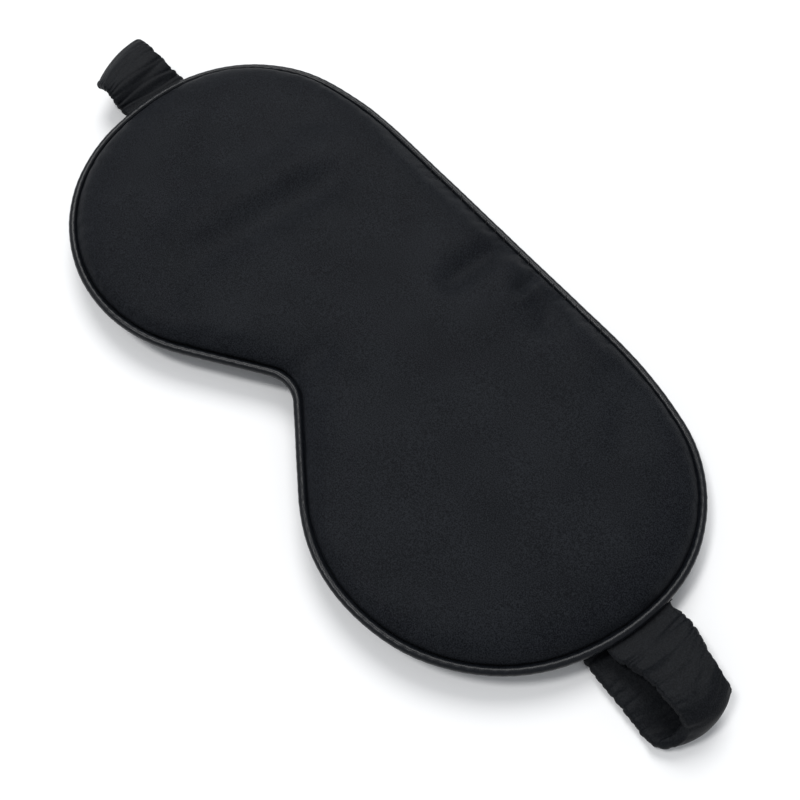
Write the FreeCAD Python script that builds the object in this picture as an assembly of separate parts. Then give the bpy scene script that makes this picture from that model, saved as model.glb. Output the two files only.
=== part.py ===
"""Sleep eye mask: a padded satin mask edged with piping, on a gathered elastic strap.

Millimetres. +Z up, X along the mask, +Y towards the forehead edge. The mask lies face up on its own
strap, and the origin is on the resting surface, under the middle of the mask. The outer cloth is two
panels that meet at the piping. Their seam allowances and the piping's flange turn inwards, and the
wadding closes round them like a rim round a tyre. The strap is sewn into the seam at both ends,
loops out past each end of the mask and runs back flat underneath it.
"""

import FreeCAD
import Part
import math
import os

V = FreeCAD.Vector

# Overall size, measured over the piping
mask_length = 210.0
mask_height = 102.0

# Outline: a straight top edge, three tangent arcs round each shoulder to the widest point, two arcs
# round each lobe, a flank arc and a straight flank up to the rounded nose notch. Turns in degrees
widest_above_middle = 5.5
top_radius = 116.0
top_turn = 14.6
shoulder_radius = 49.0
shoulder_turn = 11.3
side_radius = 68.5
side_turn = 20.0
flank_radius = 47.5
flank_turn = 34.8
notch_radius = 9.4

# Piping
piping_diameter = 2.3
cord_diameter = 1.6
flange_thickness = 0.5
seam_allowance = 7.0

# Padded body
front_crown = 6.0
back_crown = 5.5
roll_width = 12.0
panel_thickness = 0.4
lining_thickness = 0.35
cloth_gap = 0.05
seam_gap = 0.2
roll_sections = 5

# Sewing thread
thread_diameter = 0.4
seam_line_margin = 1.3
closing_middle = 8.0
closing_length = 76.0
closing_stitches = 19
closing_stitch_length = 1.4

# Strap
strap_y = 2.2
elastic_width = 18.0
elastic_thickness = 1.3
sleeve_width = 20.0
sleeve_thickness = 2.9
sleeve_clearance = 0.1
loop_reach_right = 26.5
loop_reach_left = 22.2
loop_rise = 3.8
lower_shift_right = -7.0
lower_shift_left = 2.3
loop_roundness = 0.94
sleeve_thread_radius = 0.12

# Sewn-in ends of the strap
tab_length = 8.0
tab_clearance = 0.1

# Clearances between the strap and the mask
rest_gap = 0.3
strap_end_gap = 0.3

# Places worked out from the sizes above
piping_radius = piping_diameter / 2
cord_radius = cord_diameter / 2
thread_radius = thread_diameter / 2
seam_z = sleeve_thickness + rest_gap + back_crown
cloth_start = piping_diameter + seam_gap
seam_line_inset = cloth_start + seam_line_margin
lip_bottom = flange_thickness / 2 + cloth_gap
lip_top = lip_bottom + panel_thickness
fill_bottom = lip_top + cloth_gap
fill_start = seam_line_inset + thread_radius + cloth_gap
stitch_height = lip_top + thread_radius
tab_top = seam_z - piping_radius - tab_clearance
tab_bottom = tab_top - elastic_thickness
strap_seam_z = tab_top - elastic_thickness / 2
strap_low_z = sleeve_thickness / 2
strap_high_z = seam_z + loop_rise


def export(name, shape):
    """Writes one node's solids."""
    shape.exportStep(os.path.join("parts", name + ".step"))


def mirrored(shape):
    """The shape on the other side of the middle plane."""
    return shape.mirror(V(0, 0, 0), V(1, 0, 0))


# Outline


def outline_steps(inset):
    """The right half of the outline, moved inwards by inset, as steps from the top middle to the
    notch. A step is a length and a turn in degrees, clockwise positive, or a straight length."""
    top = math.radians(top_turn)
    shoulder = math.radians(90 - shoulder_turn)
    side = math.radians(side_turn)
    flank = math.radians(flank_turn)
    corner_radius = (
        mask_height / 2
        - widest_above_middle
        - top_radius * (1 - math.cos(top))
        - shoulder_radius * math.cos(shoulder)
    ) / (math.cos(top) - math.cos(shoulder))
    top_half = (
        mask_length / 2
        - top_radius * math.sin(top)
        - corner_radius * (math.sin(shoulder) - math.sin(top))
        - shoulder_radius * (1 - math.sin(shoulder))
    )
    lobe_radius = (
        mask_height / 2 + widest_above_middle - side_radius * math.sin(side)
    ) / (1 - math.sin(side))
    lobe_x = mask_length / 2 - side_radius * (1 - math.cos(side)) - lobe_radius * math.cos(side)
    straight = (lobe_x - (flank_radius + notch_radius) * math.sin(flank)) / math.cos(flank)
    return [
        ("line", top_half),
        ("arc", top_radius - inset, top_turn),
        ("arc", corner_radius - inset, 90 - top_turn - shoulder_turn),
        ("arc", shoulder_radius - inset, shoulder_turn),
        ("arc", side_radius - inset, side_turn),
        ("arc", lobe_radius - inset, 90 - side_turn),
        ("arc", flank_radius - inset, flank_turn),
        ("line", straight),
        ("arc", notch_radius + inset, -flank_turn),
    ]


def outline_wire(inset, z):
    """The closed outline, moved inwards by inset, at height z."""
    place, heading = V(0, mask_height / 2 - inset, z), 0.0
    right_half = []
    for step in outline_steps(inset):
        ahead = V(math.cos(heading), math.sin(heading), 0)
        if step[0] == "line":
            end = place + ahead * step[1]
            right_half.append(Part.LineSegment(place, end).toShape())
        else:
            radius, turn = step[1], math.radians(step[2])
            way = math.copysign(1, turn)
            centre = place + V(ahead.y, -ahead.x, 0) * radius * way
            points = []
            for share in (0.5, 1.0):
                swung = heading - turn * share
                away = V(-math.sin(swung), math.cos(swung), 0) * radius * way
                points.append(centre + away)
            right_half.append(Part.Arc(place, points[0], points[1]).toShape())
            heading -= turn
            end = points[1]
        place = end
    left_half = [mirrored(edge) for edge in right_half]
    return Part.Wire(Part.__sortEdges__(right_half + left_half))


def ring_tube(inset, z, radius):
    """A round tube that follows the outline."""
    path = outline_wire(inset, z)
    profile = Part.Wire([Part.Circle(V(0, mask_height / 2 - inset, z), V(1, 0, 0), radius).toShape()])
    tube = path.makePipeShell([profile], True, False)
    return tube


def plate(inset, bottom, top):
    """A flat plate with the outline's shape, between two heights."""
    return Part.Face(outline_wire(inset, bottom)).extrude(V(0, 0, top - bottom))


def dome(start, depth, base, crown, up):
    """A padded half, depth under the cloth's surface: it begins at the inset start and rolls over
    to the flat middle. Its lowest edge is at height base above the seam."""
    height = crown - depth
    width = cloth_start + depth + roll_width - start
    lowest = math.asin(base / height)
    sections = []
    for i in range(roll_sections):
        angle = lowest + (math.pi / 2 - lowest) * i / (roll_sections - 1)
        inset = start + width * (1 - math.cos(angle))
        sections.append(outline_wire(inset, seam_z + up * height * math.sin(angle)))
    return Part.makeLoft(sections, True, True)


# The padded body


def panel(crown, up):
    """An outer cloth panel: its dome, with the seam allowance turned in as a flat lip."""
    outside = dome(cloth_start, 0, lip_bottom, crown, up)
    inside = dome(cloth_start + panel_thickness, panel_thickness, lip_top, crown, up)
    ends = sorted((seam_z + up * lip_bottom - up * cloth_gap, seam_z + up * lip_top + up * cloth_gap))
    hole = plate(cloth_start + seam_allowance, *ends)
    return outside.cut(inside).cut(hole)


def blackout_lining():
    """The light-blocking layer, just under the front panel."""
    depth = panel_thickness + cloth_gap
    start = fill_start + lining_thickness
    outside = dome(fill_start, depth, fill_bottom, front_crown, 1)
    inside = dome(start, depth + lining_thickness, fill_bottom, front_crown, 1)
    return outside.cut(inside)


def padding_core():
    """The wadding: two cushions joined by a waist that passes inside the seam allowances."""
    depth = panel_thickness + cloth_gap
    front_depth = depth + lining_thickness + cloth_gap
    front_start = fill_start + lining_thickness + cloth_gap
    front = dome(front_start, front_depth, fill_bottom, front_crown, 1)
    back = dome(fill_start, depth, fill_bottom, back_crown, -1)
    waist_inset = cloth_start + seam_allowance + cloth_gap
    waist = plate(waist_inset, seam_z - fill_bottom, seam_z + fill_bottom)
    return front.fuse([back, waist]).removeSplitter()


# The piping


def piping_cord():
    """The filler cord inside the piping."""
    return ring_tube(piping_radius, seam_z, cord_radius)


def piping_cover():
    """The bias strip that wraps the cord, with its flange sewn into the seam."""
    hollow_radius = cord_radius + cloth_gap
    wrap = ring_tube(piping_radius, seam_z, piping_radius)
    low, high = seam_z - flange_thickness / 2, seam_z + flange_thickness / 2
    flange = plate(piping_radius, low, high).cut(plate(cloth_start + seam_allowance, low, high))
    hollow = ring_tube(piping_radius, seam_z, hollow_radius)
    return wrap.fuse(flange).cut(hollow).removeSplitter()


# The sewing


def seam_thread(up, extra=0.0):
    """The needle thread, on the front lip, or the bobbin thread, on the back one."""
    return ring_tube(seam_line_inset, seam_z + up * stitch_height, thread_radius + extra)


def closing_thread():
    """The hand whip stitch that closes the turning gap, from the piping to the front panel."""
    z = seam_z + piping_radius + thread_radius + cloth_gap
    outer_y = mask_height / 2 - piping_radius
    first_x = closing_middle - closing_length / 2
    points = []
    for i in range(2 * closing_stitches + 1):
        x = first_x + closing_length * i / (2 * closing_stitches)
        points.append(V(x, outer_y - closing_stitch_length * (i % 2), z))
    path = Part.makePolygon(points)
    profile = Part.Wire([Part.Circle(points[0], points[1] - points[0], thread_radius).toShape()])
    return path.makePipeShell([profile], True, False, 1)


# The strap


def loop_corners(reach, way, offset):
    """One loop of the strap's line, moved outwards by offset: its start by the end of the mask and
    its two corners, each with the radius of the arc that rounds it. way is 1 right, -1 left."""
    run = reach - sleeve_thickness / 2 - strap_end_gap
    slope = math.atan2(strap_high_z - strap_seam_z, run)
    end_x = mask_length / 2 + reach - sleeve_thickness / 2 + offset
    start_x = mask_length / 2 + strap_end_gap + math.sin(slope) * (sleeve_thickness / 2 - offset)
    start = V(way * start_x, 0, strap_seam_z + offset * math.cos(slope))
    turn_share = math.tan(math.pi / 4 + slope / 2)
    high, low = strap_high_z + offset * turn_share, strap_low_z - offset
    radius = (strap_high_z - strap_low_z) * loop_roundness / (1 + turn_share) + offset
    return [(start, 0), (V(way * end_x, 0, high), radius), (V(way * end_x, 0, low), radius)]


def strap_line(offset):
    """The edges of the strap's line, moved outwards by offset: straight runs joined by arcs, from
    the right end of the mask, round both loops and back to the left end."""
    right, left = loop_corners(loop_reach_right, 1, offset), loop_corners(loop_reach_left, -1, offset)
    stops = right + left[::-1]
    edges, at = [], stops[0][0]
    for before, (corner, radius), after in zip(stops, stops[1:], stops[2:]):
        came, goes = (corner - before[0]).normalize(), (after[0] - corner).normalize()
        turn = came.getAngle(goes)
        reach = radius * math.tan(turn / 2)
        first, last = corner - came * reach, corner + goes * reach
        inwards = (goes - came).normalize()
        middle = corner + inwards * (radius / math.cos(turn / 2) - radius)
        edges.append(Part.LineSegment(at, first).toShape())
        edges.append(Part.Arc(first, middle, last).toShape())
        at = last
    edges.append(Part.LineSegment(at, stops[-1][0]).toShape())
    return edges


def strap_profile(thickness):
    """The face between the strap's line moved outwards and inwards by half the thickness."""
    outer, inner = strap_line(thickness / 2), strap_line(-thickness / 2)
    first = Part.LineSegment(outer[0].Vertexes[0].Point, inner[0].Vertexes[0].Point)
    last = Part.LineSegment(outer[-1].Vertexes[-1].Point, inner[-1].Vertexes[-1].Point)
    ends = [first.toShape(), last.toShape()]
    return Part.Face(Part.Wire(Part.__sortEdges__(outer + inner + ends)))


def strap_limits(width):
    """The room for the strap's width, because the lower run lies askew: by each loop a prism that is
    straight at the level of the seam and above and moved sideways below it, and between the loops
    a flat bar from one sideways place to the other."""
    high, low = strap_seam_z - sleeve_thickness / 2, sleeve_thickness
    top, bottom = strap_high_z + sleeve_thickness, -sleeve_thickness
    half, join_x = width / 2, mask_length / 2
    rooms = []
    for way, shift in ((1, lower_shift_right), (-1, lower_shift_left)):
        side = [(0, top), (0, high), (shift, low), (shift, bottom)]
        right = [V(way * join_x, strap_y + half + y, z) for y, z in side]
        left = [V(way * join_x, strap_y - half + y, z) for y, z in reversed(side)]
        face = Part.Face(Part.makePolygon(right + left + right[:1]))
        rooms.append(face.extrude(V(way * mask_length / 2, 0, 0)))
    y_right, y_left = strap_y + lower_shift_right, strap_y + lower_shift_left
    corners = [(join_x, y_right - half), (join_x, y_right + half)]
    corners += [(-join_x, y_left + half), (-join_x, y_left - half)]
    points = [V(x, y, bottom) for x, y in corners]
    bar = Part.Face(Part.makePolygon(points + points[:1])).extrude(V(0, 0, low - bottom))
    return bar.fuse(rooms).removeSplitter()


def strap_band(thickness, width):
    """A band along the strap's line, with a thickness and a width, as one solid."""
    reach = width + abs(lower_shift_right) + abs(lower_shift_left) + abs(strap_y)
    profile = strap_profile(thickness)
    profile.translate(V(0, -reach, 0))
    return profile.extrude(V(0, 2 * reach, 0)).common(strap_limits(width))


def strap_elastic():
    """The woven elastic."""
    return strap_band(elastic_thickness, elastic_width)


def strap_sleeve():
    """The gathered satin tube round the elastic."""
    hollow_thickness = elastic_thickness + 2 * sleeve_clearance
    hollow_width = elastic_width + 2 * sleeve_clearance
    hollow = strap_band(hollow_thickness, hollow_width)
    return strap_band(sleeve_thickness, sleeve_width).cut(hollow).cut(sleeve_seam_thread(cloth_gap))


def sleeve_seam_thread(extra=0.0):
    """The sleeve's lengthwise seam, inside the middle of its inner layer."""
    depth = (elastic_thickness + 2 * sleeve_clearance + sleeve_thickness) / 4
    line = strap_line(-depth)
    for edge in line:
        edge.translate(V(0, strap_y + (lower_shift_right + lower_shift_left) / 2, 0))
    start = line[0].Vertexes[0].Point
    way = line[0].tangentAt(line[0].FirstParameter)
    profile = Part.Wire([Part.Circle(start, way, sleeve_thread_radius + extra).toShape()])
    return Part.Wire(line).makePipeShell([profile], True, False)


def strap_tab():
    """The right sewn-in end: full height between the flange and the wadding, and thinner where it
    passes under the piping. The bobbin thread runs through it."""
    inner_x = mask_length / 2 - cloth_start - tab_length
    corner = V(inner_x, strap_y - elastic_width / 2, tab_bottom)
    high = seam_z - flange_thickness / 2 - tab_clearance
    block = Part.makeBox(mask_length / 2 - inner_x, elastic_width, high - tab_bottom, corner)
    inside = block.common(plate(piping_diameter + tab_clearance, tab_bottom, high))
    neck = Part.makeBox(mask_length / 2 - inner_x, elastic_width, elastic_thickness, corner)
    return inside.fuse(neck).removeSplitter().cut(seam_thread(-1, tab_clearance))


def tab_slot():
    """The room that the right sewn-in end takes in the layers round it."""
    width = elastic_width + 2 * tab_clearance
    inner_x = mask_length / 2 - cloth_start - tab_length - tab_clearance
    low, high = tab_bottom - tab_clearance, seam_z - flange_thickness / 2 - cloth_gap
    corner = V(inner_x, strap_y - width / 2, low)
    return Part.makeBox(mask_length / 2 - inner_x, width, high - low, corner)


def main():
    os.makedirs("parts", exist_ok=True)
    slots = [tab_slot(), mirrored(tab_slot())]
    export("front_panel", panel(front_crown, 1))
    export("blackout_lining", blackout_lining())
    export("padding_core", padding_core().cut(slots))
    export("back_panel", panel(back_crown, -1).cut(slots))
    export("piping_cord", piping_cord())
    export("piping_cover", piping_cover())
    export("needle_thread", seam_thread(1))
    export("bobbin_thread", seam_thread(-1))
    export("closing_thread", closing_thread())
    export("strap_tab_right", strap_tab())
    export("strap_tab_left", mirrored(strap_tab()))
    export("strap_elastic", strap_elastic())
    export("strap_sleeve", strap_sleeve())
    export("sleeve_seam_thread", sleeve_seam_thread())


main()
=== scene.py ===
"""Looks of a padded satin sleep eye mask with corded piping and a gathered elastic strap.

Lengths are in millimetres until make_mesh turns them into metres. The outline comes first, then the
padded panels, the piping, the hand stitches and the strap, and last the materials, what each piece
rides on, the lights and the camera.
"""

import math

import bpy
import numpy as np
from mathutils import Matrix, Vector, geometry, kdtree, noise


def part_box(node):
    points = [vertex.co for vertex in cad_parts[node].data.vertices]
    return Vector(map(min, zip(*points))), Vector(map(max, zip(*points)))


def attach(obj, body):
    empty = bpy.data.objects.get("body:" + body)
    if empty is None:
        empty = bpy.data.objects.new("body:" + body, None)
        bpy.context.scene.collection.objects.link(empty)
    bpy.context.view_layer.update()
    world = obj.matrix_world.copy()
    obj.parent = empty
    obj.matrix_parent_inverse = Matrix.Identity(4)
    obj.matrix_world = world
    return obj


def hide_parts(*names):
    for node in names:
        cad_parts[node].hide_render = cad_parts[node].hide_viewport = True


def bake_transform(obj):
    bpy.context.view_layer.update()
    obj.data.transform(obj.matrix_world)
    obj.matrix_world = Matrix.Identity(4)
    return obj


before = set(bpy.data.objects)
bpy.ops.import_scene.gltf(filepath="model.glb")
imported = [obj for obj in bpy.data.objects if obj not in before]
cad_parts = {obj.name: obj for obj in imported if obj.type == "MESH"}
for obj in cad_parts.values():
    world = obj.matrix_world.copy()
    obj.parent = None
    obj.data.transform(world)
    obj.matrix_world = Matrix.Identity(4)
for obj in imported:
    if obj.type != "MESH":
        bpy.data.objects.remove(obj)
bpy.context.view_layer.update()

MM = 0.001


def node_box(node):
    """A CAD node's lowest and highest corners."""
    return [np.array(corner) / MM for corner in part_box(node)]


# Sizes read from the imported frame
piping_low, piping_high = node_box("piping_cover")
sleeve_low, sleeve_high = node_box("strap_sleeve")
MASK_LENGTH = piping_high[0] - piping_low[0]
MASK_HEIGHT = piping_high[1] - piping_low[1]
SEAM_Z = (piping_low[2] + piping_high[2]) / 2
PIPING_RADIUS = (piping_high[2] - piping_low[2]) / 2
FRONT_CROWN = node_box("front_panel")[1][2] - SEAM_Z
BACK_CROWN = SEAM_Z - node_box("back_panel")[0][2]


# Shared helpers


def smooth(t):
    """An S curve from 0 to 1."""
    t = np.clip(t, 0, 1)
    return t * t * (3 - 2 * t)


def bell(distance, width):
    """1 at no distance, falling away over width."""
    return np.exp(-(distance / width) ** 2)


SEED_SHIFT = np.array([17.3, 5.1, 9.7])


def noise_at(points, scale, seed, octaves=2):
    """Smooth noise from -1 to 1 at points of the plane; scale is the size of a bump."""
    shift = Vector(seed * SEED_SHIFT)
    return np.array([
        noise.fractal(Vector((p[0] / scale, p[1] / scale, 0)) + shift, 1.0, 2.0, octaves)
        for p in points
    ])


def noise_along(run, scale, seed):
    """Smooth noise along a line; run is the length from its start to each place."""
    return noise_at(np.column_stack([run, run * 0]), scale, seed)


def make_mesh(name, verts, faces):
    """A smooth mesh object from points in millimetres."""
    data = bpy.data.meshes.new(name)
    data.from_pydata([tuple(v) for v in np.asarray(verts) * MM], [], [tuple(map(int, f)) for f in faces])
    data.validate()
    data.polygons.foreach_set("use_smooth", [True] * len(data.polygons))
    data.update()
    obj = bpy.data.objects.new(name, data)
    bpy.context.scene.collection.objects.link(obj)
    return obj


def ring_faces(rings, around, closed):
    """Quads between neighbouring rings of points; closed joins the last ring to the first."""
    faces = []
    for i in range(rings if closed else rings - 1):
        j = (i + 1) % rings
        for k in range(around):
            m = (k + 1) % around
            faces.append((i * around + k, i * around + m, j * around + m, j * around + k))
    return faces


def tube_faces(rings, around):
    """The faces of a tube with both ends capped, the two caps last."""
    caps = [tuple(range(around))[::-1], tuple((rings - 1) * around + k for k in range(around))]
    return ring_faces(rings, around, False) + caps


# Outline: the same tangent arcs as the CAD part, with turns in degrees

WIDEST_ABOVE_MIDDLE = 5.5
TOP_RADIUS, TOP_TURN = 116, 14.6
SHOULDER_RADIUS, SHOULDER_TURN = 49, 11.3
SIDE_RADIUS, SIDE_TURN = 68.5, 20.0
FLANK_RADIUS, FLANK_TURN = 47.5, 34.8
NOTCH_RADIUS = 9.4
SAMPLES_PER_STEP = 400
RIM_COUNT = 1120


def outline_steps():
    """The outline's right half from the top middle to the notch: (radius, turn in radians) for an
    arc, clockwise positive, or (0, length) for a straight run."""
    top, side, flank = math.radians(TOP_TURN), math.radians(SIDE_TURN), math.radians(FLANK_TURN)
    shoulder = math.radians(90 - SHOULDER_TURN)
    half_length, half_height = MASK_LENGTH / 2, MASK_HEIGHT / 2
    corner_height = half_height - WIDEST_ABOVE_MIDDLE - TOP_RADIUS * (1 - math.cos(top))
    corner_height -= SHOULDER_RADIUS * math.cos(shoulder)
    corner = corner_height / (math.cos(top) - math.cos(shoulder))
    top_run = half_length - TOP_RADIUS * math.sin(top) - corner * (math.sin(shoulder) - math.sin(top))
    top_run -= SHOULDER_RADIUS * (1 - math.sin(shoulder))
    lobe = half_height + WIDEST_ABOVE_MIDDLE - SIDE_RADIUS * math.sin(side)
    lobe /= 1 - math.sin(side)
    lobe_x = half_length - SIDE_RADIUS * (1 - math.cos(side)) - lobe * math.cos(side)
    flank_run = (lobe_x - (FLANK_RADIUS + NOTCH_RADIUS) * math.sin(flank)) / math.cos(flank)
    return [
        (0, top_run), (TOP_RADIUS, top), (corner, shoulder - top),
        (SHOULDER_RADIUS, math.pi / 2 - shoulder), (SIDE_RADIUS, side), (lobe, math.pi / 2 - side),
        (FLANK_RADIUS, flank), (0, flank_run), (NOTCH_RADIUS, -flank),
    ]


def outline(count):
    """count points round the outline, evenly spaced, their outward normals, and its length."""
    place, heading, dense, normals = np.array([0, MASK_HEIGHT / 2]), 0.0, [], []
    shares = np.linspace(0, 1, SAMPLES_PER_STEP, endpoint=False)
    for radius, turn in outline_steps():
        if radius == 0:
            ahead = np.array([math.cos(heading), math.sin(heading)])
            dense += [place + ahead * turn * s for s in shares]
            normals += [np.array([-ahead[1], ahead[0]])] * len(shares)
            place = place + ahead * turn
            continue
        way = math.copysign(1, turn)
        centre = place + np.array([math.sin(heading), -math.cos(heading)]) * radius * way
        for s in shares:
            swung = heading - turn * s
            out = np.array([-math.sin(swung), math.cos(swung)])
            dense.append(centre + out * radius * way)
            normals.append(out)
        heading -= turn
        place = centre + np.array([-math.sin(heading), math.cos(heading)]) * radius * way
    right, right_n = np.array(dense + [place]), np.array(normals + [[0.0, -1.0]])
    left, left_n = right[::-1][1:-1] * [-1, 1], right_n[::-1][1:-1] * [-1, 1]
    points, out = np.vstack([right, left]), np.vstack([right_n, left_n])
    loop, loop_n = np.vstack([points, points[:1]]), np.vstack([out, out[:1]])
    run = np.concatenate([[0], np.cumsum(np.linalg.norm(np.diff(loop, axis=0), axis=1))])
    at = np.linspace(0, run[-1], count, endpoint=False)
    spots = np.stack([np.interp(at, run, loop[:, k]) for k in (0, 1)], 1)
    ways = np.stack([np.interp(at, run, loop_n[:, k]) for k in (0, 1)], 1)
    return spots, ways / np.linalg.norm(ways, axis=1, keepdims=True), run[-1]


rim, rim_normals, rim_length = outline(RIM_COUNT)


def inset_of(points, batch=4000):
    """For each point in the plane: how far it is inside the outline, and where along it."""
    inset, nearest = np.empty(len(points)), np.empty(len(points), int)
    for a in range(0, len(points), batch):
        gap = np.linalg.norm(points[a:a + batch, None] - rim[None], axis=2)
        nearest[a:a + batch] = gap.argmin(1)
        inset[a:a + batch] = gap.min(1)
    side = ((rim[nearest] - points) * rim_normals[nearest]).sum(1)
    return np.where(side > 0, inset, -inset), nearest


# Padded panels: the mesh

CLOTH_START = 2.45          # inset of the cloth's edge, against the piping
ROLL = 12.0                 # width over which the padding rises from the seam
EDGE_HEIGHT = 0.3           # height of the cloth's edge over the seam
LATTICE_JITTER = 0.12
LATTICE_MARGIN = 0.7
FINE_SPACING, SIM_SPACING = 1.5, 2.6
# Rings of points along the rim, as insets and numbers of points
FINE_RINGS = [(CLOTH_START, 1120), (2.7, 1120), (3.1, 1120), (3.6, 1120), (4.2, 1120), (4.9, 1120),
              (5.7, 1120), (6.6, 560), (7.6, 560), (8.8, 560), (10.2, 560), (12.0, 560)]
SIM_RINGS = [(CLOTH_START, 224), (4.2, 224), (6.6, 160)]


def panel_grid(rings, spacing, seed):
    """Triangles over the panel: rings of points near the rim and a scattered lattice inside.
    Returns the points, the triangles and the outer ring's points in order."""
    points = []
    for inset, count in rings:
        index = (np.arange(count) * (RIM_COUNT / count)).astype(int)
        points.append(rim[index] - rim_normals[index] * inset)
    xs = np.arange(-MASK_LENGTH / 2, MASK_LENGTH / 2, spacing)
    rows = np.arange(-MASK_HEIGHT / 2, MASK_HEIGHT / 2, spacing * 0.866)
    lattice = np.array([(x + (k % 2) * spacing / 2, y) for k, y in enumerate(rows) for x in xs])
    jitter = np.random.default_rng(seed).uniform(-LATTICE_JITTER, LATTICE_JITTER, lattice.shape)
    lattice += jitter * spacing
    inside, _ = inset_of(lattice)
    points.append(lattice[inside > rings[-1][0] + spacing * LATTICE_MARGIN])
    count = rings[0][1]
    edges = [(i, (i + 1) % count) for i in range(count)]
    verts, _, faces, origin, _, _ = geometry.delaunay_2d_cdt(
        [Vector(p) for p in np.vstack(points)], edges, [], 1, 1e-6
    )
    order = {source: i for i, sources in enumerate(origin) for source in sources}
    border = [order[i] for i in range(count)]
    return np.array([tuple(v) for v in verts]), np.array([tuple(f) for f in faces]), border


def dome(inset, crown):
    """Height above the seam of a plain padded half."""
    u = np.clip((inset - CLOTH_START) / ROLL, 0, 1)
    return EDGE_HEIGHT + (crown - EDGE_HEIGHT) * np.sqrt(np.clip(1 - (1 - u) ** 2, 0, 1))


grid, grid_faces, grid_border = panel_grid(FINE_RINGS, FINE_SPACING, 5)
grid_inset, grid_nearest = inset_of(grid)
grid_inset = np.maximum(grid_inset, CLOTH_START)
grid_depth = grid_inset - CLOTH_START
grid_run = grid_nearest / RIM_COUNT * rim_length


# Padded panels: the simulated swelling

SIM_CROWN_SHARE = 0.9       # the pillow starts a little flatter than the panels
SIM_STEPS = 20
NEIGHBOURS, NEIGHBOUR_REACH = 14, 3.2
SWELL_CAP = 0.8
SWELL_START = 3.0           # the swelling sets in over this width from the cloth's edge


def simulate():
    """Puffs a closed pillow of both panels with Cloth, its rim held by the seam. Returns the rest
    points of each half and how far each one moves: front, front's move, back, back's move."""
    flat, faces, border = panel_grid(SIM_RINGS, SIM_SPACING, 3)
    inset, _ = inset_of(flat)
    n = len(flat)
    inner = np.ones(n, bool)
    inner[border] = False
    link = np.arange(n)
    link[inner] = n + np.arange(inner.sum())
    front = np.column_stack([flat, SEAM_Z + dome(inset, FRONT_CROWN * SIM_CROWN_SHARE)])
    back = np.column_stack([flat, SEAM_Z - dome(inset, BACK_CROWN * SIM_CROWN_SHARE)])
    front[border, 2] = SEAM_Z
    verts = np.vstack([front, back[inner]])
    both = [tuple(f) for f in faces] + [tuple(link[f][::-1]) for f in faces]
    pad = make_mesh("pillow_sim", verts, both)
    held = pad.vertex_groups.new(name="seam")
    held.add([int(i) for i in border], 1.0, "REPLACE")
    cloth = pad.modifiers.new("Cloth", "CLOTH")
    settings = cloth.settings
    settings.quality = 6
    settings.mass = 0.15
    settings.tension_stiffness = 12
    settings.compression_stiffness = 12
    settings.shear_stiffness = 4
    settings.bending_stiffness = 0.6
    settings.use_pressure = True
    settings.uniform_pressure_force = 4
    settings.shrink_min = -0.012
    settings.vertex_group_mass = "seam"
    settings.effector_weights.gravity = 0
    cloth.collision_settings.use_collision = False
    cloth.point_cache.frame_end = SIM_STEPS
    for step in range(1, SIM_STEPS + 1):
        bpy.context.scene.frame_set(step)
    shaped = pad.evaluated_get(bpy.context.evaluated_depsgraph_get()).to_mesh()
    moved = np.array([tuple(v.co) for v in shaped.vertices]) / MM
    bpy.context.scene.frame_set(1)
    bpy.data.objects.remove(pad)
    shift = moved - verts
    return verts[:n], shift[:n], back, shift[link]


def carried(points, rest, shift):
    """The simulated move at new points, as a weighted mean of the nearest simulated ones."""
    tree = kdtree.KDTree(len(rest))
    for i, p in enumerate(rest):
        tree.insert(Vector((p[0], p[1], 0)), i)
    tree.balance()
    out = np.zeros((len(points), 3))
    for k, p in enumerate(points):
        near = tree.find_n(Vector((p[0], p[1], 0)), NEIGHBOURS)
        weight = np.array([math.exp(-(d / NEIGHBOUR_REACH) ** 2) + 1e-9 for _, _, d in near])
        out[k] = (shift[[i for _, i, _ in near]] * weight[:, None]).sum(0) / weight.sum()
    return out


def swelling(shift):
    """The carried move, held within SWELL_CAP and faded out towards the seam."""
    size = np.linalg.norm(shift, axis=1, keepdims=True)
    held = shift * (SWELL_CAP * np.tanh(size / SWELL_CAP) / np.maximum(size, 1e-9))
    return held * smooth(grid_depth / SWELL_START)[:, None]


front_rest, front_moved, back_rest, back_moved = simulate()
front_shift = carried(grid, front_rest, front_moved)
back_shift = carried(grid, back_rest, back_moved)


# Padded panels: folds, dimples and puckers

# Start, end, width and depth of each soft fold of the face; a ridge has a negative depth
FACE_FOLDS = [
    ((-41, 28), (-45, -25), 6.5, 1.7), ((-52, 26), (-56, -23), 6.5, -1.3),     # over the left lobe
    ((5.5, 45), (5.5, 24), 4.2, 1.9), ((-4, 46), (-6, 30), 6.0, -0.4),         # by the closed gap
    ((18.5, 46), (19.5, 38), 1.9, 1.9), ((25, 46), (34, 35), 3.8, 1.5),
    ((21.5, 43), (23, 36), 1.8, -0.7), ((13, 46), (12, 38), 2.4, -0.4),
    ((0, -26), (1, -12), 4.0, 1.0), ((9, -22), (16, -8), 5.0, 0.6),            # above the notch
    ((36, -40), (70, -42), 8.0, 0.5),                                          # under the right lobe
]
GAP_START, GAP_END, GAP_STITCHES = -30, 46, 17
PUCKER_DEPTH, PUCKER_WIDTH, PUCKER_REACH = 0.55, 0.9, 3.2
PUCKERS_FROM, PUCKERS_TO, PUCKERS_FADE, PUCKERS_ABOVE = -42, 60, 8, 20


def crease(points, start, end, width, depth):
    """A soft valley along a line from start to end."""
    a, b = np.array(start, float), np.array(end, float)
    way = b - a
    t = ((points - a) @ way) / (way @ way)
    off = np.linalg.norm(points - (a + np.clip(t, 0, 1)[:, None] * way), axis=1)
    fade = smooth((t + 0.25) / 0.45) * smooth((1.25 - t) / 0.45)
    return -depth * fade * bell(off, width)


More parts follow.
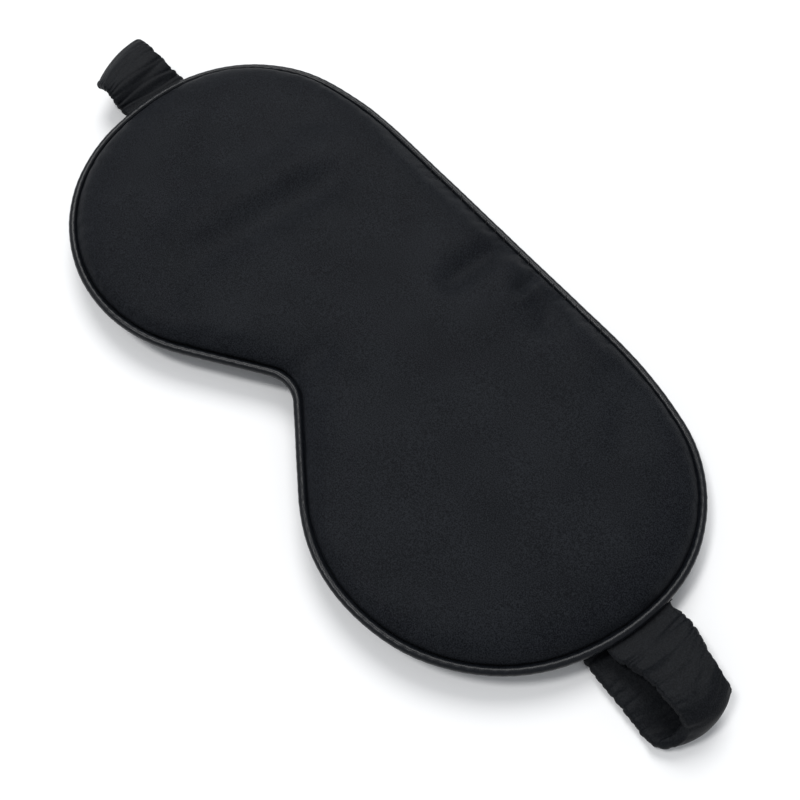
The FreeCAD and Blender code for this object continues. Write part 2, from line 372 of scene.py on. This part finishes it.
def gathers(seed, pitch, amount, reach):
    """Small folds that run in from the seam and die out over reach."""
    count = int(rim_length / pitch)
    draw = np.random.default_rng(seed)
    places = (np.arange(count) + draw.uniform(-0.3, 0.3, count)) * rim_length / count
    sizes, lean = draw.uniform(0.25, 1.0, count), draw.uniform(-0.35, 0.35, count)
    lengths = draw.uniform(0.6, 1.3, count) * reach
    width = pitch * (0.16 + 0.03 * grid_depth)
    out = np.zeros(len(grid))
    for place, size, slant, length in zip(places, sizes, lean, lengths):
        gap = (grid_run - place + rim_length / 2) % rim_length - rim_length / 2 - slant * grid_depth
        out -= size * bell(gap, width) * smooth(1 - grid_depth / length)
    return out * amount * smooth(grid_depth / 0.8 + 0.35)


def stitch_places():
    """Where the hand stitches cross the seam, along x."""
    draw = np.random.default_rng(21)
    return np.linspace(GAP_START, GAP_END, GAP_STITCHES) + draw.uniform(-0.7, 0.7, GAP_STITCHES)


def front_features():
    """Folds, dimples, gathers and puckers of the face, as heights."""
    out = sum(crease(grid, *fold) for fold in FACE_FOLDS)
    out += noise_at(grid, 34, 2) * 0.5 + noise_at(grid, 13, 4) * 0.16
    out += gathers(11, 6.5, 0.32, 9.0) + gathers(12, 3.1, 0.12, 4.0)
    x, y = grid.T
    top = smooth((x - PUCKERS_FROM) / PUCKERS_FADE) * smooth((PUCKERS_TO - x) / PUCKERS_FADE)
    top *= (y > PUCKERS_ABOVE) * bell(grid_depth, PUCKER_REACH)
    for place in stitch_places():
        out -= PUCKER_DEPTH * bell(x - place, PUCKER_WIDTH) * top
    return out


def back_features():
    """Unevenness and gathers of the back, as heights."""
    out = noise_at(grid, 30, 7) * 0.4 + noise_at(grid, 12, 8) * 0.15
    return out + gathers(31, 6.0, 0.28, 8.0) + gathers(32, 3.0, 0.1, 4.0)


def pulled_rim():
    """Sideways pull of the cloth's edge towards the seam between stitches."""
    ripple = noise_along(grid_run, 5.0, 9) * 0.12
    return rim_normals[grid_nearest] * (ripple * bell(grid_depth, 1.5))[:, None]


def panel_surface(up, crown, shift, features):
    """Outer surface of a panel; up is 1 for the front and -1 for the back."""
    height = dome(grid_inset, crown - SWELL_CAP) + features * smooth(grid_depth / 1.2 + 0.2)
    return np.column_stack([grid + pulled_rim(), SEAM_Z + up * height]) + swelling(shift)


# Padded panels: the closed pieces

CLOTH_THICKNESS = 0.4
LINING_DEPTH, LINING_THICKNESS = 0.5, 0.3
WADDING_START = 5.2         # the wadding's rim is this far in from the outline
WADDING_EDGE_HEIGHT = 0.95
WADDING_FRONT_DEPTH, WADDING_BACK_DEPTH = 0.95, 0.6
BACK_ABOVE_TABLE = 3.3      # the strap's lower run lies under the back


def vertex_normals(points, faces):
    """Unit normals of the points of a triangle mesh."""
    out = np.zeros_like(points)
    normal = np.cross(points[faces[:, 1]] - points[faces[:, 0]], points[faces[:, 2]] - points[faces[:, 0]])
    for k in range(3):
        np.add.at(out, faces[:, k], normal)
    return out / np.linalg.norm(out, axis=1, keepdims=True)


def closed_layer(name, outer, inner, faces, ring):
    """A closed piece between two skins that share their triangles, joined along their rim."""
    n = len(outer)
    skin = [tuple(f) for f in faces] + [tuple(n + f[::-1]) for f in faces]
    skin += [(a, b, n + b, n + a) for a, b in zip(ring, ring[1:] + ring[:1])]
    return make_mesh(name, np.vstack([outer, inner]), skin)


def shell(name, surface, up, depth, thickness):
    """A closed layer under a panel's surface: its outer skin lies depth below it."""
    faces = grid_faces if up > 0 else grid_faces[:, ::-1]
    ring = grid_border if up > 0 else grid_border[::-1]
    normals = vertex_normals(surface, faces)
    outer, inner = surface - normals * depth, surface - normals * (depth + thickness)
    return closed_layer(name, outer, inner, faces, ring)


def wadding_skin(surface, up, depth):
    """One half of the filling: depth under a panel's surface, drawn in and clear of the seam."""
    faces = grid_faces if up > 0 else grid_faces[:, ::-1]
    moved = surface - vertex_normals(surface, faces) * depth
    away = np.clip(WADDING_START - grid_inset, 0, None)
    moved[:, :2] -= rim_normals[grid_nearest] * away[:, None]
    lowest = SEAM_Z + up * WADDING_EDGE_HEIGHT
    moved[:, 2] = np.maximum(moved[:, 2], lowest) if up > 0 else np.minimum(moved[:, 2], lowest)
    return moved


front_surface = panel_surface(1, FRONT_CROWN, front_shift, front_features())
back_surface = panel_surface(-1, BACK_CROWN, back_shift, back_features())
back_lowest = sleeve_low[2] + BACK_ABOVE_TABLE + 0.15 * noise_at(grid, 9, 14)
back_surface[:, 2] = np.maximum(back_surface[:, 2], back_lowest)

front_cover = shell("front_cover", front_surface, 1, 0, CLOTH_THICKNESS)
back_cover = shell("back_cover", back_surface, -1, 0, CLOTH_THICKNESS)
lining_piece = shell("lining", front_surface, 1, LINING_DEPTH, LINING_THICKNESS)
wadding_piece = closed_layer(
    "wadding", wadding_skin(front_surface, 1, WADDING_FRONT_DEPTH),
    wadding_skin(back_surface, -1, WADDING_BACK_DEPTH), grid_faces, grid_border,
)


# Piping

PIPING_STEPS = 1400
ROUND_POINTS, ROUND_FROM, ROUND_TO = 22, 14, 346    # the round part's section, in degrees
FLANGE = [(4.0, -0.2), (9.0, -0.2), (9.0, 0.2), (4.0, 0.2)]
JOIN_PLACE, JOIN_SWELL, JOIN_REACH = (-103.0, -17.0), 0.09, 3.0
TWIST_AMOUNT, TWIST_PITCH = 0.018, 2.1


def piping():
    """The bias strip round the cord, and its flange in the seam, as one closed ring."""
    points, normals, length = outline(PIPING_STEPS)
    run = np.arange(PIPING_STEPS) / PIPING_STEPS * length
    wave, lift = noise_along(run, 17, 3) * 0.10, noise_along(run, 23, 5) * 0.108
    join = np.linalg.norm(points - np.array(JOIN_PLACE), axis=1)
    swell = noise_along(run, 6, 6) * 0.02 + JOIN_SWELL * bell(join, JOIN_REACH)
    angles = [math.radians(a) for a in np.linspace(ROUND_FROM, ROUND_TO, ROUND_POINTS)]
    verts = []
    for i in range(PIPING_STEPS):
        middle = PIPING_RADIUS - wave[i]
        section = []
        for angle in angles:
            twist = TWIST_AMOUNT * math.sin(run[i] * TWIST_PITCH + angle * 2)
            radius = PIPING_RADIUS * (1 + swell[i] + twist)
            section.append((middle + radius * math.cos(angle), radius * math.sin(angle) - lift[i]))
        for inset, down in section + FLANGE:
            spot = points[i] - normals[i] * inset
            verts.append((spot[0], spot[1], SEAM_Z - down))
    return make_mesh("piping", verts, ring_faces(PIPING_STEPS, ROUND_POINTS + len(FLANGE), True))


piping_piece = piping()


# Hand stitches

STITCH_RADIUS, STITCH_SIDES = 0.13, 8
# One stitch, from the piping over to the cover and back under: share of the way to the next
# stitch, inset and height over the seam
STITCH = [(0.0, 1.3, 1.05), (0.15, 2.1, 1.10), (0.3, 3.0, 1.35), (0.45, 3.5, 1.2),
          (0.55, 3.7, 0.5), (0.75, 2.4, 0.35), (0.95, 1.2, 0.4)]
NO_TANGENT = (0.31, 0.17, 0.93)     # a direction that the thread never runs in


def closing_stitches():
    """The thread that closes the gap by hand: a thin whip stitch from the piping to the cover."""
    upper_x = np.where(rim[:, 1] > 0, rim[:, 0], 1e3)
    index = [int(np.abs(upper_x - x).argmin()) for x in stitch_places()]
    index = [k - RIM_COUNT if k > RIM_COUNT / 2 else k for k in index]
    path = []
    for a, b in zip(index, index[1:]):
        for share, inset, z in STITCH:
            k = int(a + (b - a) * share)
            path.append(np.append(rim[k] - rim_normals[k] * inset, SEAM_Z + z))
    path = np.array(path)
    way = np.gradient(path, axis=0)
    way /= np.linalg.norm(way, axis=1, keepdims=True)
    across = np.cross(way, NO_TANGENT)
    across /= np.linalg.norm(across, axis=1, keepdims=True)
    up = np.cross(way, across)
    turns = [2 * math.pi * k / STITCH_SIDES for k in range(STITCH_SIDES)]
    verts = [
        p + STITCH_RADIUS * (math.cos(turn) * a + math.sin(turn) * u)
        for p, a, u in zip(path, across, up) for turn in turns
    ]
    return make_mesh("closing_stitches", verts, tube_faces(len(path), STITCH_SIDES))


stitches_piece = closing_stitches()


# Strap: its line

STRAP_Y = 2.2
STRAP_WIDTH, SLEEVE_THICK = 20.0, 2.9
CORE_WIDTH, CORE_THICK = 17.5, 1.1
SLEEVE_STEP, CORE_STEP = 0.35, 1.0
TAB_HALF_THICK = 0.65
ELASTIC_SEAM_Z = node_box("strap_tab_right")[0][2] + TAB_HALF_THICK
LOWER_RUN_STOPS = (60, 0, -60)


def loop_line(reach, way):
    """Control points of one loop's middle line, from the seam to the lower run."""
    low, high = SLEEVE_THICK / 2 + 0.1, sleeve_high[2] - SLEEVE_THICK / 2
    seam_x, end_x = MASK_LENGTH / 2 - 1.5, reach - SLEEVE_THICK / 2
    line = [(seam_x, ELASTIC_SEAM_Z), (seam_x + 4, ELASTIC_SEAM_Z + 0.3)]
    line += [(end_x - 12, high - 1.0), (end_x - 5.8, high), (end_x - 1.3, high - 1.9)]
    line += [(end_x, high - 5.0), (end_x - 0.7, low + 2.2), (end_x - 4.5, low), (end_x - 13, low)]
    return [(way * x, z) for x, z in line]


def between(a, b, at_a, at_b, t):
    """The point at t on the line through a, at at_a, and b, at at_b."""
    return (at_b - t) / (at_b - at_a) * a + (t - at_a) / (at_b - at_a) * b


def sampled(control, step):
    """A smooth line (centripetal Catmull-Rom) through control points, evenly spaced by about step,
    with its directions and the length up to each point."""
    pad = np.vstack([2 * control[0] - control[1], control, 2 * control[-1] - control[-2]])
    dense = []
    for a, b, c, d in zip(pad, pad[1:], pad[2:], pad[3:]):
        first, span, last = (np.linalg.norm(q - p) ** 0.5 for p, q in ((a, b), (b, c), (c, d)))
        t0, t1, t2, t3 = 0, first, first + span, first + span + last
        for t in np.linspace(t1, t2, max(4, int(span * span / 0.1)), endpoint=False):
            ab, bc, cd = between(a, b, t0, t1, t), between(b, c, t1, t2, t), between(c, d, t2, t3, t)
            abc, bcd = between(ab, bc, t0, t2, t), between(bc, cd, t1, t3, t)
            dense.append(between(abc, bcd, t1, t2, t))
    dense = np.array(dense + [control[-1]])
    run = np.concatenate([[0], np.cumsum(np.linalg.norm(np.diff(dense, axis=0), axis=1))])
    at = np.linspace(0, run[-1], int(run[-1] / step) + 1)
    line = np.stack([np.interp(at, run, dense[:, k]) for k in (0, 1)], 1)
    way = np.gradient(line, axis=0)
    return line, way / np.linalg.norm(way, axis=1, keepdims=True), at


def strap_path(step):
    """Middle line of the strap in the XZ plane, from inside the right seam to inside the left."""
    right, left = loop_line(sleeve_high[0], 1), loop_line(-sleeve_low[0], -1)
    lower_run = [(x, right[-1][1]) for x in LOWER_RUN_STOPS]
    return sampled(np.array(right + lower_run + left[::-1]), step)


# The strap is split on its lower run, inside each loop
SPLIT_X, LOWER_RUN_TOP = 117.0, 3
strap_line, _, strap_at = strap_path(SLEEVE_STEP)
STRAP_TOTAL = strap_at[-1]
low_part = np.where((np.abs(strap_line[:, 0]) < SPLIT_X) & (strap_line[:, 1] < LOWER_RUN_TOP))[0]
SPLIT_RIGHT, SPLIT_LEFT = strap_at[low_part[0]], strap_at[low_part[-1]]


# Strap: how its cloth lies

LOWER_RIGHT, LOWER_LEFT = -8.0, 4.2         # how far askew the lower run lies at each end
UNDER_TOP, UNDER_FADE = 1.8, 7.5            # below UNDER_TOP the strap counts as lower run
RIGHT_CONVEX, LEFT_CONVEX = 2.0, 1.65       # how much the loops' ends are rounded
LEFT_SKEW, LEFT_OUT = 3.35, 2.5             # slant of the left loop's end, and its offset
RIGHT_LEAN, LEFT_LEAN = 3.4, 0.9            # sideways lean of the upper runs
RIGHT_TAPER = 0.25                          # narrowing of the right upper run
LEFT_FLARE, LEFT_NARROW = 1.0, 0.2          # widening by the left seam, narrowing of the lower run
CAP_MARGIN = 0.06                           # a ring close to each cap keeps the shading straight
FLOOR_GAP = 0.05


def strap_place(x, z, v):
    """Where the strap's cloth lies at a place on its middle line, v from -1 to 1 across it: the
    lower run lies askew and the loops' ends are rounded. Returns the move along X, the middle's
    y, and how much of its full width the strap has there."""
    share = (x - sleeve_low[0]) / (sleeve_high[0] - sleeve_low[0])
    under = 1 - smooth((z - UNDER_TOP) / UNDER_FADE)
    middle = STRAP_Y + (LOWER_LEFT + (LOWER_RIGHT - LOWER_LEFT) * share) * under
    past_end = abs(x) - MASK_LENGTH / 2
    reach = (sleeve_high[0] if x > 0 else -sleeve_low[0]) - MASK_LENGTH / 2
    out = smooth(past_end / (reach - 3))
    if x > 0:
        wide = 1 - RIGHT_TAPER * smooth(past_end / (reach - 5)) * (1 - under)
        return -RIGHT_CONVEX * v * v * out, middle - RIGHT_LEAN * out * (1 - under), wide
    along = LEFT_CONVEX * v * v + LEFT_SKEW * (1 - v) - LEFT_OUT
    wide = 1 + 2 * LEFT_FLARE / STRAP_WIDTH * smooth((past_end + 6) / 4) * (1 - 0.7 * out)
    wide -= LEFT_NARROW * out * under
    return along * out, middle - LEFT_LEAN * out * (1 - under), wide


# Strap: its gathers, each a place along the strap and how it looks there

FINE_DRAWS, SOFT_DRAWS = 300, 150
SEAM_PINCH = 7.0                            # the sleeve is flatter over this length at a seam
fold_draw = np.random.default_rng(41)


def fold_places(least, most, count):
    """Uneven places along the strap, from least to most apart."""
    places = np.cumsum(fold_draw.uniform(least, most, count))
    return places[places < STRAP_TOTAL]


def drawn(places, least, most):
    """A drawn value for each fold."""
    return fold_draw.uniform(least, most, len(places))


fine = fold_places(1.5, 3.0, FINE_DRAWS)
fine_tall, fine_wide = drawn(fine, 0.3, 1.0), drawn(fine, 0.35, 0.55)
soft = fold_places(2.6, 6.5, SOFT_DRAWS)
soft_tall, soft_lean = drawn(soft, 0.3, 1.0), drawn(soft, -0.22, 0.30)
soft_wide, soft_side = drawn(soft, 0.9, 2.2), drawn(soft, -0.8, 0.8)


def ripple_at(s, v, y, face, unevenness):
    """How far the sleeve's cloth stands out at s along the strap, v from -1 to 1 across it and y
    from its middle. face is 1 on the loops' inner side and -1 on their outer side."""
    from_end = min(s, STRAP_TOTAL - s)
    gap = s - fine - 0.5 * np.sin(v * 2.2 + fine) * face
    ripple = -(fine_tall * bell(gap, fine_wide)).sum() * (0.10 + 0.26 * abs(v) ** 3)
    gap = s - soft - soft_lean * y * face - 1.3 * face
    ripple -= 0.42 * (soft_tall * bell(v - soft_side, 0.8) * bell(gap, soft_wide)).sum()
    ripple += 0.10 * unevenness
    return ripple * (0.4 + 0.6 * smooth(from_end / SEAM_PINCH)) * (1 + 0.8 * bell(from_end - 8, 5))


# Strap: the closed pieces

SLEEVE_LEAST = 0.74         # least half thickness, so the elastic stays inside
EDGE_LEAST = 0.5            # the least that the band's edge is rounded


def band_section(across, side):
    """Points round the band's section: v from -1 to 1 across it, out from 1 on the loops' inner side
    to -1 on their outer side, and how far the point bulges past the band's edge."""
    turns = [math.pi * k / side for k in range(1, side)]
    section = [(-1 + 2 * k / (across - 1), 1.0, 0.0) for k in range(across)]
    section += [(1.0, math.cos(turn), math.sin(turn)) for turn in turns]
    section += [(1 - 2 * k / (across - 1), -1.0, 0.0) for k in range(across)]
    section += [(-1.0, -math.cos(turn), math.sin(turn)) for turn in turns]
    return section


def strap_piece(name, first, last, width, thickness, gathered):
    """A closed band along the strap's line between two places on it; gathered is for the sleeve."""
    line, way, at = strap_path(SLEEVE_STEP if gathered else CORE_STEP)
    keep = (at >= first) & (at <= last)
    line, way, at = line[keep], way[keep], at[keep]
    section = band_section(40, 8) if gathered else band_section(10, 2)
    least = SLEEVE_LEAST if gathered else 0
    edges = [noise_along(at, 2.4, seed) for seed in (51, 52)]
    skins = [noise_along(at, 7.0, seed) for seed in (53, 54)]
    rings = []
    for i, (spot, tangent, s) in enumerate(zip(line, way, at)):
        normal = np.array([-tangent[1], tangent[0]])
        pinch = smooth(min(s, STRAP_TOTAL - s) / SEAM_PINCH) if gathered else 1.0
        half = thickness / 2 * (0.55 + 0.45 * pinch)
        ring = []
        for v, out, bulge in section:
            y, ripple, rough_edge = v * (width / 2 - half), 0.0, 0.0
            if gathered:
                face = 1 if out > 0 else -1
                ripple = ripple_at(s, v, y, face, skins[0 if face > 0 else 1][i])
                rough_edge = ripple * 1.1 + edges[0 if v > 0 else 1][i] * 0.3
            if bulge:
                y += math.copysign(bulge * max(half + rough_edge, EDGE_LEAST), v)
            off = out * max(half + ripple * (1 if abs(out) > 0.5 else 0.5), least)
            place = spot - normal * off
            along, middle, wider = strap_place(spot[0], spot[1], v)
            ring.append((place[0] + along, middle + y * wider, max(place[1], FLOOR_GAP)))
        rings.append(ring)
    rings = np.array(rings)
    near_first = rings[0] + (rings[1] - rings[0]) * CAP_MARGIN
    near_last = rings[-1] + (rings[-2] - rings[-1]) * CAP_MARGIN
    rings = np.concatenate([rings[:1], [near_first], rings[1:-1], [near_last], rings[-1:]])
    band = make_mesh(name, rings.reshape(-1, 3), tube_faces(len(rings), len(section)))
    for cap in (-2, -1):
        band.data.polygons[cap].use_smooth = False
    return band


strap_pieces = []
for side, first, last in (
    ("right", 0, SPLIT_RIGHT), ("under", SPLIT_RIGHT, SPLIT_LEFT), ("left", SPLIT_LEFT, STRAP_TOTAL),
):
    sleeve = strap_piece("sleeve_" + side, first, last, STRAP_WIDTH, SLEEVE_THICK, True)
    core = strap_piece("elastic_" + side, first, last, CORE_WIDTH, CORE_THICK, False)
    strap_pieces.append((side, sleeve, core))


# Materials


def material(name):
    """A new material, its node tree and its shader."""
    mat = bpy.data.materials.new(name)
    mat.use_nodes = True
    return mat, mat.node_tree, mat.node_tree.nodes["Principled BSDF"]


def add_node(tree, kind, values=None):
    """A shader node with some of its inputs set."""
    node = tree.nodes.new("ShaderNode" + kind)
    for key, value in (values or {}).items():
        node.inputs[key].default_value = value
    return node


def add_ramp(tree, factor, bsdf, dark, light, low=0.0, high=1.0):
    """The base colour: dark up to low, light from high."""
    ramp = add_node(tree, "ValToRGB")
    for stop, place, colour in zip(ramp.color_ramp.elements, (low, high), (dark, light)):
        stop.position = place
        stop.color = (*colour, 1)
    tree.links.new(factor, ramp.inputs["Fac"])
    tree.links.new(ramp.outputs["Color"], bsdf.inputs["Base Color"])


def add_bump(tree, height, bsdf, strength, distance):
    """Relief from a height."""
    bump = add_node(tree, "Bump", {"Strength": strength, "Distance": distance})
    tree.links.new(height, bump.inputs["Height"])
    tree.links.new(bump.outputs["Normal"], bsdf.inputs["Normal"])


CLOUD_SHARE = 0.16
ROUGH_SPREAD = 0.07


def satin(name, dark, light, rough=0.52, weave=0.2, shine=0.05):
    """Black satin: a fine diagonal weave, faint cloudy colour and a soft sheen."""
    mat, tree, bsdf = material(name)
    link = tree.links.new
    coords = add_node(tree, "TexCoord")
    cloud = add_node(tree, "TexNoise", {"Scale": 60, "Detail": 4})
    grain = add_node(tree, "TexNoise", {"Scale": 3200, "Detail": 3})
    threads = add_node(tree, "TexWave", {"Scale": 1500, "Distortion": 6, "Detail": 1})
    threads.bands_direction = "DIAGONAL"
    for texture in (cloud, grain, threads):
        link(coords.outputs["Object"], texture.inputs["Vector"])
    faint = add_node(tree, "Math", {1: CLOUD_SHARE})
    faint.operation = "MULTIPLY"
    link(cloud.outputs["Fac"], faint.inputs[0])
    mixed = add_node(tree, "Math", {1: 1 - CLOUD_SHARE})
    mixed.operation = "MULTIPLY_ADD"
    link(grain.outputs["Fac"], mixed.inputs[0])
    link(faint.outputs[0], mixed.inputs[2])
    add_ramp(tree, mixed.outputs[0], bsdf, dark, light, 0.4, 0.62)
    spread = add_node(tree, "MapRange", {"To Min": rough - ROUGH_SPREAD, "To Max": rough + ROUGH_SPREAD})
    link(grain.outputs["Fac"], spread.inputs["Value"])
    link(spread.outputs["Result"], bsdf.inputs["Roughness"])
    height = add_node(tree, "Math")
    height.operation = "ADD"
    link(threads.outputs["Fac"], height.inputs[0])
    link(grain.outputs["Fac"], height.inputs[1])
    add_bump(tree, height.outputs[0], bsdf, weave, 0.0001)
    bsdf.inputs["Specular IOR Level"].default_value = shine
    bsdf.inputs["Sheen Weight"].default_value = 0.006
    bsdf.inputs["Sheen Roughness"].default_value = 0.35
    return mat


def plain_cloth(name, dark, light, scale, strength):
    """Matt thread, wadding or woven cloth."""
    mat, tree, bsdf = material(name)
    coords = add_node(tree, "TexCoord")
    fibre = add_node(tree, "TexNoise", {"Scale": scale, "Detail": 5})
    tree.links.new(coords.outputs["Object"], fibre.inputs["Vector"])
    add_ramp(tree, fibre.outputs["Fac"], bsdf, dark, light)
    add_bump(tree, fibre.outputs["Fac"], bsdf, strength, 0.0002)
    bsdf.inputs["Roughness"].default_value = 0.85
    bsdf.inputs["Specular IOR Level"].default_value = 0.2
    return mat


face_satin = satin("face_satin", (0.0036, 0.0042, 0.0057), (0.0145, 0.0163, 0.0196))
back_satin = satin("back_satin", (0.0030, 0.0036, 0.0052), (0.0125, 0.0143, 0.0176))
piping_satin = satin("piping_satin", (0.0030, 0.0037, 0.0052), (0.0075, 0.0088, 0.0112), 0.3, 0.12, 0.22)
sleeve_satin = satin("sleeve_satin", (0.0035, 0.0041, 0.0053), (0.0110, 0.0122, 0.0144), 0.5, 0.25, 0.08)
lining_cloth = plain_cloth("lining_cloth", (0.006, 0.006, 0.006), (0.014, 0.014, 0.015), 900, 0.3)
wadding_fibre = plain_cloth("wadding_fibre", (0.62, 0.61, 0.57), (0.82, 0.81, 0.78), 500, 0.8)
cord_cotton = plain_cloth("cord_cotton", (0.55, 0.53, 0.48), (0.78, 0.76, 0.70), 1400, 0.6)
black_thread = plain_cloth("black_thread", (0.005, 0.005, 0.006), (0.014, 0.014, 0.016), 3000, 0.5)
elastic_web = plain_cloth("elastic_web", (0.010, 0.010, 0.011), (0.03, 0.03, 0.032), 1800, 0.6)


# What each piece is made of, rides on and stands for


def finish_piece(obj, mat, body=None):
    """Gives a piece its material and slot, and the body it rides on if one is given."""
    obj.data.materials.clear()
    obj.data.materials.append(mat)
    if body:
        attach(obj, body)


finish_piece(front_cover, face_satin, "mask")
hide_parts("front_panel")
finish_piece(back_cover, back_satin, "mask")
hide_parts("back_panel")
finish_piece(piping_piece, piping_satin, "mask")
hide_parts("piping_cover")
finish_piece(lining_piece, lining_cloth, "mask")
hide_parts("blackout_lining")
finish_piece(wadding_piece, wadding_fibre, "mask")
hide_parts("padding_core")
finish_piece(stitches_piece, black_thread, "mask")
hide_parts("closing_thread")

# The lower run's pieces ride on the strap; the loops' pieces ride on no body and have their transforms
# baked in.
for side, sleeve, core in strap_pieces:
    finish_piece(sleeve, sleeve_satin, "strap" if side == "under" else None)
    finish_piece(core, elastic_web, "strap" if side == "under" else None)
    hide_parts("strap_sleeve", "sleeve_seam_thread")
    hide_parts("strap_elastic")
    if side != "under":
        for piece in (sleeve, core):
            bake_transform(piece)

cad_looks = {
    "piping_cord": cord_cotton,
    "needle_thread": black_thread, "bobbin_thread": black_thread,
    "strap_tab_right": elastic_web, "strap_tab_left": elastic_web,
}
for node, mat in cad_looks.items():
    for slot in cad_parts[node].material_slots:
        slot.material = mat


# Stage, light and camera, in metres

FLOOR_HALF = 3.0
CAMERA_AZIMUTH, CAMERA_ELEVATION = math.radians(50.19), math.radians(64.77)
CAMERA_DISTANCE = 262.8 * MM
CAMERA_TARGET = np.array([22.42, -5.64, SEAM_Z]) * MM
CAMERA_LENS, CAMERA_SENSOR = 45, 36


def floor():
    """A plain pale floor."""
    r = FLOOR_HALF
    data = bpy.data.meshes.new("floor")
    data.from_pydata([(-r, -r, 0), (r, -r, 0), (r, r, 0), (-r, r, 0)], [], [(0, 1, 2, 3)])
    obj = bpy.data.objects.new("floor", data)
    bpy.context.scene.collection.objects.link(obj)
    mat, _, bsdf = material("floor")
    bsdf.inputs["Base Color"].default_value = (0.93, 0.93, 0.93, 1)
    bsdf.inputs["Roughness"].default_value = 0.9
    bsdf.inputs["Specular IOR Level"].default_value = 0.0
    data.materials.append(mat)


def area_light(name, place, size, power):
    """A round soft light that shines on the origin."""
    data = bpy.data.lights.new(name, "AREA")
    data.shape = "DISK"
    data.size = size
    data.energy = power
    obj = bpy.data.objects.new(name, data)
    obj.location = place
    obj.rotation_euler = (-Vector(place)).to_track_quat("-Z", "Y").to_euler()
    bpy.context.scene.collection.objects.link(obj)


def studio():
    """The even light of a pale room."""
    world = bpy.data.worlds.new("studio")
    world.use_nodes = True
    world.node_tree.nodes["Background"].inputs["Color"].default_value = (0.93, 0.96, 1.0, 1)
    world.node_tree.nodes["Background"].inputs["Strength"].default_value = 0.46
    bpy.context.scene.world = world


def camera():
    """The camera, CAMERA_DISTANCE from its target."""
    towards = np.array([
        math.sin(CAMERA_AZIMUTH) * math.cos(CAMERA_ELEVATION),
        -math.cos(CAMERA_AZIMUTH) * math.cos(CAMERA_ELEVATION),
        math.sin(CAMERA_ELEVATION),
    ])
    data = bpy.data.cameras.new("camera")
    data.lens = CAMERA_LENS
    data.sensor_width = CAMERA_SENSOR
    data.clip_start = 0.01
    obj = bpy.data.objects.new("camera", data)
    obj.location = CAMERA_TARGET + towards * CAMERA_DISTANCE
    obj.rotation_euler = Vector(-towards).to_track_quat("-Z", "Y").to_euler()
    bpy.context.scene.collection.objects.link(obj)
    bpy.context.scene.camera = obj


floor()
studio()
area_light("window", (-1.25, 1.1, 2.4), 1.6, 43)
area_light("overhead", (-0.85, -1.0, 3.1), 0.7, 42)
camera()
bpy.context.scene.view_settings.view_transform = "Standard"
bpy.context.scene.view_settings.look = "None"
